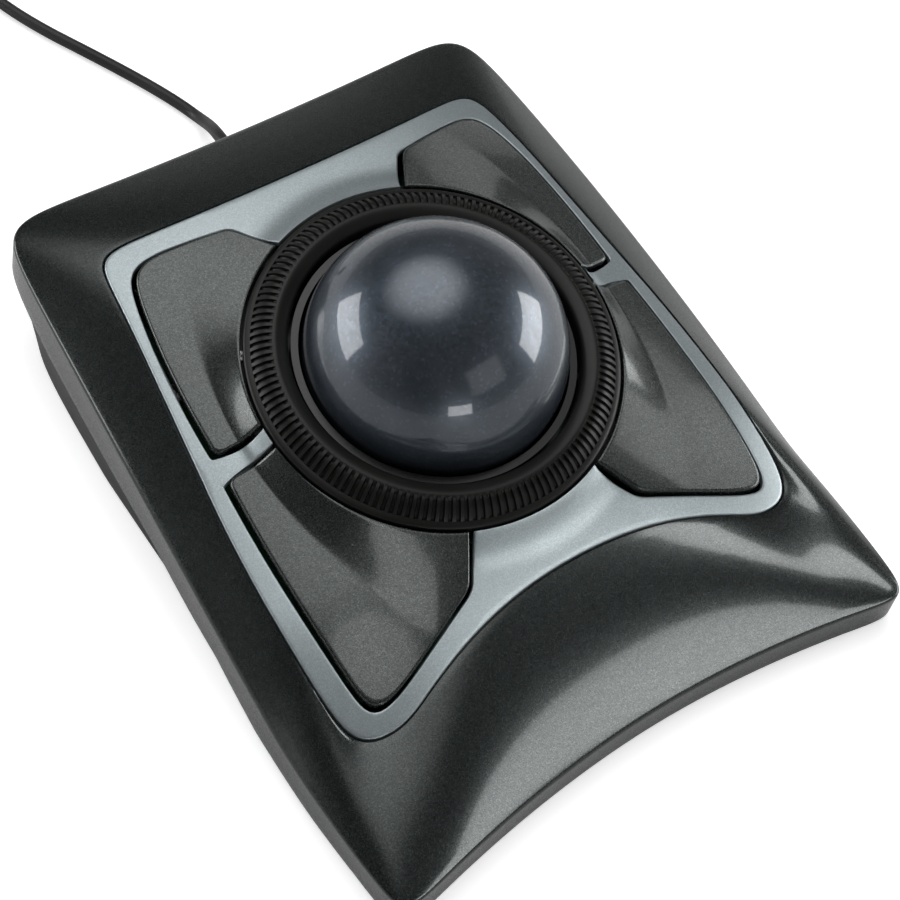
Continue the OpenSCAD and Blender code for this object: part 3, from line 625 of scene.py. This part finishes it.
def frame_inner_half():
    """Rows of inner angle, inner radius and the outer angle each point is joined to."""
    gap = arc_degrees(HALF_GAP, OPENING)
    back_inner, _, back_inner_end, _ = BACK_SPAN
    front_inner, _, front_inner_end, _ = FRONT_SPAN
    back, back_radius = lobe(True)
    front, front_radius = (values[::-1] for values in lobe(False))
    # outer angles met at the corners of the bridge between back and front buttons
    back_foot, bridge_back, bridge_front, front_foot = 5.2, 1.8, -1.4, -4.6

    def run(steps, start, end):
        return mix(np.array(start), np.array(end), np.linspace(0, 1, steps + 1)[:, None])

    corners = [
        (90, OPENING, 90),
        (back_inner + gap, OPENING, back_inner),
        (back[0], back_radius[0], back[0]),
        (back[-1], back_radius[-1], back_foot),
        (back_inner_end - gap, OPENING, bridge_back),
        (-(front_inner_end - gap), OPENING, bridge_front),
        (-front[0], front_radius[0], front_foot),
        (-front[-1], front_radius[-1], -front[-1]),
        (-(front_inner + gap), OPENING, -front_inner),
        (-90, OPENING, -90)]
    back_share = (back - back[0]) / (back[-1] - back[0])
    front_share = (front - front[0]) / (front[-1] - front[0])
    return np.concatenate([
        run(16, corners[0], corners[1])[:-1],
        run(8, corners[1], corners[2])[:-1],
        np.stack([back, back_radius, mix(back[0], back_foot, back_share)], -1),
        run(8, corners[3], corners[4])[1:],
        run(6, corners[4], corners[5])[1:],
        run(8, corners[5], corners[6])[1:-1],
        np.stack([-front, front_radius, mix(front_foot, -front[-1], front_share)], -1),
        run(8, corners[7], corners[8])[1:],
        run(16, corners[8], corners[9])[1:]])


def offset_loop(points, distance):
    """A closed outline in the deck plane moved outwards along its own normals."""
    along = np.roll(points, -1, 0) - np.roll(points, 1, 0)
    along = along / np.maximum(np.linalg.norm(along, axis=1, keepdims=True), 1e-9)
    return points + np.stack([-along[:, 1], along[:, 0]], -1) * distance


def build_silver_frame():
    depth = 1.65
    inner_angle, inner_radius, outer_angle = frame_inner_half().T
    inner = close_by_mirror(np.stack(polar(inner_angle, inner_radius), -1))
    outer_radius = frame_radius(outer_angle)
    outer = close_by_mirror(np.stack(polar(outer_angle, outer_radius), -1))

    def lowered(points, drop):
        x, y = points.T
        return to_world(x, y, frame_z(x, y) - drop)

    top_inner, top_outer = offset_loop(inner, 0.32), offset_loop(outer, -0.35)
    loops = [lowered(inner, depth), lowered(inner, 0.35), lowered(offset_loop(inner, 0.10), 0.1)]
    loops += [lowered(mix(top_inner, top_outer, k), 0) for k in np.linspace(0, 1, 13)]
    loops += [lowered(offset_loop(outer, -0.10), 0.1), lowered(outer, 0.35),
              lowered(outer, depth)]
    loops += [lowered(mix(inner, outer, k), depth) for k in np.linspace(1, 0, 7)[1:-1]]
    make("silver_frame", skin(loops, closed=True), "base", "bezel", "silver_frame", sharp=50)


# ---------------------------------------------------------------- buttons
def button_point(back, along, out, gap):
    """x and y on a button in the back right quarter; gap is its inset all round."""
    inner_start, outer_start, inner_end, outer_end = BACK_SPAN if back else FRONT_SPAN
    turn = arc_degrees(gap, SPAN_RADIUS)
    start, end = outer_start - turn, outer_end + turn
    outer_angle = start + (end - start) * along
    outer_radius = (button_radius(outer_angle, back) - gap
                    - corner_trim(outer_angle, start, end, 1.4))
    turn = arc_degrees(gap, OPENING)
    inner_angle = mix(inner_start - turn, inner_end + turn, along)
    inner = np.stack(polar(inner_angle, OPENING + gap - HALF_GAP), -1)
    return mix(inner, np.stack(polar(outer_angle, outer_radius), -1), out[:, None])


def button_plate(back):
    """The curved plate in deck axes, its upper edge rounded."""
    edge_radius, thickness = 0.55, 2.0
    along = crowded(0, 1, 74, 0.05)
    out = np.concatenate([[0, .02, .06], np.linspace(.12, .9, 30), [.95, .98, 1]])
    grid = np.arange(len(along) * len(out)).reshape(len(along), len(out))
    edge = np.concatenate([grid[0, :-1], grid[:-1, -1], grid[-1, :0:-1], grid[:0:-1, 0]])
    along, out = (values.ravel() for values in np.meshgrid(along, out, indexing="ij"))

    def layer(which, inset, drop):
        x, y = button_point(back, along[which], out[which], HALF_GAP + inset).T
        return np.stack([x, y, button_z(x, y) - drop], -1)

    everywhere = grid.ravel()
    points = [layer(everywhere, edge_radius, 0)]
    quads = bridge(*grid.shape[::-1], False, False)
    faces = list(quads)
    turns = [math.radians(angle) for angle in (22, 45, 68, 90)]
    steps = [(edge_radius * (1 - math.sin(turn)), edge_radius * (1 - math.cos(turn)))
             for turn in turns]
    count, previous = grid.size, edge
    for inset, drop in steps + [(0, thickness)]:
        points.append(layer(edge, inset, drop))
        current = np.arange(count, count + len(edge))
        faces += np.stack([np.roll(previous, -1), previous, current, np.roll(current, -1)],
                          -1).tolist()
        previous = current
        count += len(edge)
    # the underside shares the last edge loop
    points.append(layer(everywhere, 0, thickness))
    under = count + everywhere
    under[edge] = previous
    faces += under[np.array(quads)][:, ::-1].tolist()
    return np.concatenate(points), faces


def button_fittings(back):
    """A lug with a cross pin and a round post under the plate, on the quarter's diagonal."""
    lug_radius, pin_z = 43, -6.5
    post_radius = lug_radius + (14 if back else 19)
    c45 = math.sqrt(0.5)
    lug_xy, post_xy = np.array([lug_radius * c45]), np.array([post_radius * c45])
    lug_top = float(button_z(lug_xy, lug_xy)[0]) - 1.5
    post_top = float(button_z(post_xy, post_xy)[0]) - 1.2

    box = [(c45 * (x - y), c45 * (x + y), z)
           for z in (-8.7, lug_top) for y in (-7, 7)
           for x in (lug_radius - 2.2, lug_radius + 2.2)]
    box_faces = [[0, 2, 3, 1], [4, 5, 7, 6], [0, 1, 5, 4], [2, 6, 7, 3], [0, 4, 6, 2],
                 [1, 3, 7, 5]]
    middle = np.array([lug_radius * c45, lug_radius * c45, pin_z])
    sideways = np.array([-c45, c45, 0]) * 10.5
    post = float(post_xy[0])
    parts = [(np.array(box), box_faces),
             cylinder(middle - sideways, middle + sideways, 1.2, 32, bevel=0.15),
             cylinder((post, post, -11.06), (post, post, post_top), 1.9, 32, bevel=0.15)]
    return [(points, reversed_faces(faces)) for points, faces in parts]


def build_buttons():
    for row, mirror_y in (("back", 1), ("front", -1)):
        for side, mirror_x in (("left", -1), ("right", 1)):
            back = row == "back"
            points, faces = join([button_plate(back), *button_fittings(back)])
            points = to_world(*(points * [mirror_x, mirror_y, 1]).T)
            make(f"key_{row}_{side}", (points, faces), f"{row}_{side}_button",
                 f"button_{row}_{side}", "button_flake", sharp=38, flip=mirror_x == mirror_y)


# ---------------------------------------------------------------- scroll ring
def build_scroll_ring():
    """A turned profile with 140 ribs; slots are sunk into it between them."""
    ribs, slot_depth = 140, 0.85
    # profiles are (radius, z)
    outer_wall = [(39.2, -1.2), (39.3, -0.1), (39.25, 0.25), (39.05, 0.55), (38.7, 0.78),
                  (38.2, 0.95), (37.9, 1.05)]
    foot, top = 37.9, 33.85
    rib_radius = np.linspace(foot, top, 17)
    climb = (foot - rib_radius) / (foot - top)
    rib_z = 1.15 + 2.5 * np.sin(climb * math.pi / 2) ** 0.9
    lip_and_underside = [
        (33.6, 3.78), (33.3, 3.84), (33.0, 3.83), (32.7, 3.78), (32.3, 3.68), (31.9, 3.54),
        (31.5, 3.38), (31.1, 3.2), (30.8, 3.02), (30.55, 2.78), (30.42, 2.5), (30.4, 2.2),
        (30.4, -1.0), (31.4, -1.0), (31.4, 1.4), (35.2, 1.4), (35.2, -7), (38.2, -7),
        (38.2, -6.2), (36.8, -6.2), (36.8, -1.2)]
    profile = outer_wall + list(zip(rib_radius, rib_z)) + lip_and_underside
    fade = np.clip(np.minimum((37.95 - rib_radius) / 0.35, (rib_radius - 33.8) / 0.45), 0, 1)
    depth = np.zeros(len(profile))
    first = len(outer_wall)
    depth[first:first + len(rib_radius)] = slot_depth * fade ** 0.6

    # across one rib and slot: share of the pitch, height (1 rib top, 0 slot floor)
    pitch_share = np.array([0.0, 0.05, 0.22, 0.39, 0.44, 0.50, 0.56, 0.72, 0.88, 0.94])
    height = np.tile([1.0, 1.0, 1.0, 1.0, 1.0, 0.12, 0.0, 0.0, 0.0, 0.12], ribs)
    turn = (np.arange(ribs)[:, None] + pitch_share).ravel() / ribs * 2 * math.pi
    loops = [to_world(r * np.cos(turn), r * np.sin(turn), z - sink * (1 - height))
             for (r, z), sink in zip(profile, depth)]
    make("ribbed_ring", skin(loops, closed=True), "scroll_wheel", "scroll_ring",
         "ring_rubber", sharp=34)


# ---------------------------------------------------------------- ball
def build_ball():
    around, bands = 160, 80
    cosine, sine = circle(around)
    points = []
    for latitude in np.radians(np.linspace(-90, 90, bands + 1)[1:-1]):
        r = BALL_RADIUS * math.cos(latitude)
        z = BALL_RADIUS * math.sin(latitude) + BALL_Z
        points.append(to_world(r * cosine, r * sine, np.full(around, z)))
    for pole in (-BALL_RADIUS, BALL_RADIUS):
        points.append(to_world(0, 0, pole + BALL_Z)[None])
    faces = bridge(around, bands - 1)
    south = (bands - 1) * around
    last = south - around
    for i in range(around):
        j = (i + 1) % around
        faces += [[j, i, south], [last + i, last + j, south + 1]]
    make("trackball", (np.concatenate(points), faces), "ball_shell", "ball", "ball_gloss",
         sharp=60)


# ---------------------------------------------------------------- base tray
def subtract(piece, parts):
    points, faces = join(parts)
    mesh = bpy.data.meshes.new("cut")
    mesh.from_pydata((points * MM).tolist(), [], faces)
    mesh.update()
    cutter = link("cut", mesh)
    modifier = piece.modifiers.new("b", "BOOLEAN")
    modifier.operation = "DIFFERENCE"
    modifier.object = cutter
    modifier.solver = "EXACT"
    bpy.context.view_layer.update()
    depsgraph = bpy.context.evaluated_depsgraph_get()
    result = bpy.data.meshes.new_from_object(piece.evaluated_get(depsgraph))
    piece.modifiers.clear()
    uncut = piece.data
    piece.data = result
    bpy.data.meshes.remove(uncut)
    bpy.data.objects.remove(cutter)
    result.shade_smooth()
    result.set_sharp_from_angle(angle=math.radians(35))


def build_casing_base():
    # inset, z or lift of each loop, from the flat underside up the wall and inside
    loops = [flat_loop(*row) for row in [(1.9, 1.2), (1.6, 1.25), (1.38, 1.42), (1.3, 1.6)]]
    wall_foot, wall_top = loops[-1], skirt_loop(1.5, -0.15)
    loops += [mix(wall_foot, wall_top, share) for share in (0.25, 0.5, 0.75, 1)]
    loops += [skirt_loop(*row) for row in [(2.8, -0.15), (2.8, 2.4), (4.4, 2.4)]]
    loops.append(flat_loop(4.6, 3.2))
    tray = make("casing_base", skin(loops), "base", "bottom_shell", "base_plastic", sharp=35)

    bosses = [(50, 63), (-50, 63), (53, -55), (-53, -55)]
    feet = [(46, 50), (-46, 50), (42, -66), (-42, -66)]
    # centres, height, radius: boss holes, their counterbores and the foot recesses
    holes = [(bosses, 8, 1.6), (bosses, 2.6, 3.0), (feet, 2.0, 6.0)]
    cuts = [cylinder((x, y, 0), (x, y, height), radius, 48)
            for centres, height, radius in holes for x, y in centres]
    cuts.append(cylinder((CABLE_X, CENTRE_Y + 60, CABLE_Z),
                         (CABLE_X, CENTRE_Y + 90, CABLE_Z), 3.2, 48))
    subtract(tray, cuts)


# ---------------------------------------------------------------- cable, boot and plug
# Four Bezier spans sharing their ends: x from CABLE_X, y from CENTRE_Y, z
CABLE_PATH = np.array([
    (0, 62, CABLE_Z), (0, 70, CABLE_Z), (0, 78, CABLE_Z),
    (0, 84, CABLE_Z), (0, 92, CABLE_Z), (6, 100.5, 1.5),
    (3.8, 108, 1.5), (1.2, 117, 1.5), (-5, 130, 1.5),
    (-12.2, 144.5, 1.5), (-18, 156.5, 1.5), (-24, 172, 1.5),
    (-24, 191, 3.2)]) + [CABLE_X, CENTRE_Y, 0]


def bezier(span, t):
    """Point and tangent of one cable span."""
    a, b, c, d = CABLE_PATH[3 * span:3 * span + 4]
    rest = 1 - t
    point = a * rest ** 3 + b * 3 * t * rest ** 2 + c * 3 * t * t * rest + d * t ** 3
    return point, (b - a) * 3 * rest ** 2 + (c - b) * 6 * t * rest + (d - c) * 3 * t * t


def build_cable():
    radius = 1.45
    cosine, sine = (values[::-1, None] * radius for values in circle(28))
    stations = [bezier(span, i / 30) for span in range(4) for i in range(30)]
    loops = []
    for point, tangent in stations + [bezier(3, 1)]:
        tangent = tangent / np.linalg.norm(tangent)
        level = np.cross([0, 0, 1], tangent)
        level /= np.linalg.norm(level)
        loops.append(point + cosine * level + sine * np.cross(tangent, level))
    make("lead", skin(loops), "base", "cable", "cable_rubber", sharp=60, flip=True)


def build_boot():
    """A flanged sleeve around the cable, tapering to the back, with five grooves."""
    start_y = CENTRE_Y + 69
    # radius, y from the boot's front end
    profile = [(1.53, 0), (4.45, 0), (4.6, 0.15), (4.6, 2.35), (4.45, 2.5), (2.98, 2.5)]
    # depth below the cone, y from the groove's start
    groove = [(0, 0), (0.02, 0.12), (0.55, 0.22), (0.6, 0.5), (0.55, 0.78), (0.04, 0.9)]
    for i in range(5):
        y = 4.4 + i * 2.1
        cone = 3 - 0.7 * y / 15
        profile += [(cone - depth, y + step) for depth, step in groove]
    profile += [(2.36, 14.6), (2.28, 14.85), (2.1, 15), (1.53, 15)]
    cosine, sine = circle(48)
    loops = [np.stack([CABLE_X + r * cosine, np.full(48, start_y + y), CABLE_Z + r * sine], -1)
             for r, y in profile]
    make("cable_boot", skin(loops, closed=True), "base", "strain_relief", "cable_rubber",
         sharp=35, flip=True)


def build_plug_grip():
    """Rounded-box sections strung along the direction in which the cable ends."""
    axis_z, power = 4.5, 5.0
    end_x, end_y, _ = CABLE_PATH[-1]
    ahead = CABLE_PATH[-1] - CABLE_PATH[-2]
    heading = math.atan2(ahead[1], ahead[0])
    # distance along, half width, bottom and top from axis_z
    sections = [
        (-4, 1.9, -3.15, 0.55), (-4, 2.7, -3.5, 2.4), (-3.7, 3.0, -3.6, 2.9),
        (0.0, 3.0, -3.6, 2.9), (0.2, 2.7, -3.3, 2.6), (0.9, 2.7, -3.3, 2.6),
        (1.1, 3.0, -3.6, 2.9), (2.0, 3.0, -3.6, 2.9), (2.2, 2.7, -3.3, 2.6),
        (2.9, 2.7, -3.3, 2.6), (3.1, 3.0, -3.6, 2.9), (4.0, 3.4, -3.6, 3.2),
        (4.0, 6.6, -3.8, 3.7), (4.3, 7.2, -3.95, 3.92), (4.9, 7.5, -4, 4), (14, 7.5, -4, 4),
        (23.2, 7.5, -4, 4), (23.8, 7.3, -3.9, 3.9), (24, 6.9, -3.7, 3.7),
        (24, 6.05, -2.3, 2.3), (19, 6.05, -2.3, 2.3)]
    across, upward = (np.sign(v) * np.abs(v) ** (2 / power) for v in circle(56))
    cosine, sine = math.cos(heading), math.sin(heading)
    loops = []
    for along, half_width, bottom, top in sections:
        side = across * half_width
        z = upward * (top - bottom) / 2 + (top + bottom) / 2
        loops.append(np.stack([end_x + along * cosine - side * sine,
                               end_y + along * sine + side * cosine, axis_z + z], -1))
    make("plug_grip", skin(loops), "base", "usb_overmould", "cable_rubber", sharp=40)


# ---------------------------------------------------------------- stage (metres)
def direction(azimuth, elevation):
    """Unit vector; azimuth in degrees from +x towards +y."""
    a, e = math.radians(azimuth), math.radians(elevation)
    return Vector((math.cos(e) * math.cos(a), math.cos(e) * math.sin(a), math.sin(e)))


def build_floor():
    material = bpy.data.materials.new("floor_white")
    material.use_nodes = True
    tree = material.node_tree
    place = tree.nodes.new("ShaderNodeTexCoord").outputs["Object"]
    clouds = add_node(tree, "ShaderNodeTexNoise", {"Scale": 9, "Vector": place}).outputs[0]
    colour = ramp(tree, clouds, [(0.3, grey(0.80)), (0.7, grey(0.84))])
    # the floor glows for the camera only
    seen = tree.nodes.new("ShaderNodeLightPath").outputs["Is Camera Ray"]
    glow = add_node(tree, "ShaderNodeMath", {0: seen, 1: 0.62}, operation="MULTIPLY")
    feed(tree, tree.nodes["Principled BSDF"], {
        "Base Color": colour, "Roughness": 0.9, "Specular IOR Level": 0.1,
        "Emission Color": (1, 1, 1, 1), "Emission Strength": glow.outputs[0]})
    half = 3.0
    mesh = bpy.data.meshes.new("floor")
    corners = [(-half, -half, 0), (half, -half, 0), (half, half, 0), (-half, half, 0)]
    mesh.from_pydata(corners, [], [(0, 1, 2, 3)])
    floor = link("floor", mesh)
    mesh.materials.append(material)
    floor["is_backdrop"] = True


def build_world():
    """Soft panels and a glow far away for reflections; plain white to the camera."""
    world = bpy.data.worlds.new("w")
    bpy.context.scene.world = world
    world.use_nodes = True
    tree = world.node_tree
    tree.nodes.clear()
    ray = tree.nodes.new("ShaderNodeTexCoord").outputs["Generated"]

    def calc(operation, *values):
        inputs = dict(enumerate(values))
        return add_node(tree, "ShaderNodeMath", inputs, operation=operation).outputs[0]

    def dot(vector):
        return add_node(tree, "ShaderNodeVectorMath", {0: ray, 1: vector},
                        operation="DOT_PRODUCT").outputs["Value"]

    def step(source, low, high, level_low, level_high):
        return add_node(tree, "ShaderNodeMapRange", {
            0: source, "From Min": low, "From Max": high, "To Min": level_low,
            "To Max": level_high}, interpolation_type="SMOOTHSTEP").outputs[0]

    def glow(azimuth, elevation, inner, outer, level):
        return step(dot(direction(azimuth, elevation)), math.cos(math.radians(outer)),
                    math.cos(math.radians(inner)), 0.0, level)

    def panel(azimuth, elevation, half_width, half_height, level, soft):
        """A rectangle in the tangent plane of its direction."""
        centre = direction(azimuth, elevation)
        right = Vector((0, 0, 1)).cross(centre).normalized()
        facing = calc("MAXIMUM", dot(centre), 0.05)

        def band(axis, half_angle, inside):
            reach = math.tan(math.radians(half_angle))
            away = calc("ABSOLUTE", calc("DIVIDE", dot(axis), facing))
            return step(away, reach * (1 - soft), reach * (1 + soft), inside, 0.0)

        across = band(right, half_width, level)
        return calc("MULTIPLY", across, band(centre.cross(right), half_height, 1.0))

    # azimuth, elevation, half width, half height (degrees), level, softness
    panels = [(137, 8, 20, 13, 5.0, 0.06), (-20, 11, 19, 11, 6.0, 0.06),
              (-80, 25, 15, 11, 0.7, 0.2), (-106, 2, 9, 6, 5.0, 0.06)]
    total = step(dot((0, 0, 1)), low=0.0, high=0.3, level_low=0.22, level_high=0.06)
    parts = [glow(azimuth=88, elevation=66, inner=8, outer=36, level=2.3)]
    parts += [panel(*row) for row in panels]
    for part in parts:
        total = calc("ADD", total, part)
    seen = tree.nodes.new("ShaderNodeLightPath").outputs["Is Camera Ray"]
    level = add_node(tree, "ShaderNodeMix", {0: seen, 2: total, 3: 1.0}, data_type="FLOAT")
    background = add_node(tree, "ShaderNodeBackground", {0: (1, 1, 1, 1), 1: level.outputs[0]})
    add_node(tree, "ShaderNodeOutputWorld", {0: background.outputs[0]})


def build_key_light():
    light = bpy.data.lights.new("key_top", "AREA")
    light.shape = "RECTANGLE"
    light.size = light.size_y = 0.5
    light.energy = 1.5
    lamp = link("key_top", light)
    place, target = Vector((0.22, 0.05, 0.95)), Vector((0, 0, 0.03))
    lamp.location = place
    lamp.rotation_euler = (target - place).to_track_quat("-Z", "Y").to_euler()
    lamp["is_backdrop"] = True
    lamp.visible_glossy = False


# name, azimuth, elevation, angular size (degrees), brightness, the slot it lights
SUNS = [
    ("apron_light", -64, 37, 24, 6.5, "shell_flake"),
    ("frame_light", -50, 53, 30, 3.4, "silver_frame"),
    ("ridge_light", -8, 50, 17, 8.5, "shell_flake"),
    ("back_light", 36, 28, 24, 1.3, "button_flake"),
    ("side_light", -4, 40, 26, 2.2, "button_flake"),
    ("button_light", -120, 74, 20, 2.6, "button_flake"),
]


def build_suns():
    """Suns that each light only the pieces wearing one material."""
    for name, azimuth, elevation, size, brightness, slot in SUNS:
        light = bpy.data.lights.new(name, "SUN")
        light.angle = math.radians(size)
        light.energy = brightness * math.pi * math.sin(math.radians(size / 2)) ** 2
        lamp = link(name, light)
        toward = direction(azimuth, elevation)
        lamp.rotation_euler = toward.to_track_quat("Z", "Y").to_euler()
        lit = bpy.data.collections.new(name + "_on")
        for piece in bpy.data.objects:
            if piece.type == "MESH" and any(m is MATERIALS[slot] for m in piece.data.materials):
                lit.objects.link(piece)
        lamp.light_linking.receiver_collection = lit
        lamp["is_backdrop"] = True


def build_camera():
    # the camera's right, down and forward axes in deck axes
    axes = np.array([[0.82161755, -0.5408913, 0.17994778],
                     [-0.43460982, -0.79865599, -0.41624863],
                     [0.36886163, 0.26379011, -0.89126644]])
    deck_origin = np.array([-3.06469, -19.94586, 366.66244])    # seen along those axes, mm
    place = to_world(*(-axes.T @ deck_origin))
    turned = to_world(*axes.T) - to_world(0, 0, 0)
    pose = np.eye(4)
    pose[:3, :3] = (turned * [[1], [-1], [-1]]).T
    pose[:3, 3] = place * MM
    lens = bpy.data.cameras.new("cam")
    camera = link("cam", lens)
    lens.lens = 71.65
    lens.sensor_width = 36
    lens.clip_start = 0.01
    lens.clip_end = 20
    camera.matrix_world = Matrix(pose.tolist())
    scene = bpy.context.scene
    scene.camera = camera
    scene.view_settings.view_transform = "Standard"
    scene.view_settings.look = "None"
    scene.view_settings.exposure = 0.0


dress_cad_pieces()
build_casing_top()
build_silver_frame()
build_buttons()
build_scroll_ring()
build_ball()
build_casing_base()
build_cable()
build_boot()
build_plug_grip()
build_floor()
build_world()
build_key_light()
build_suns()
build_camera()

after = plain(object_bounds())
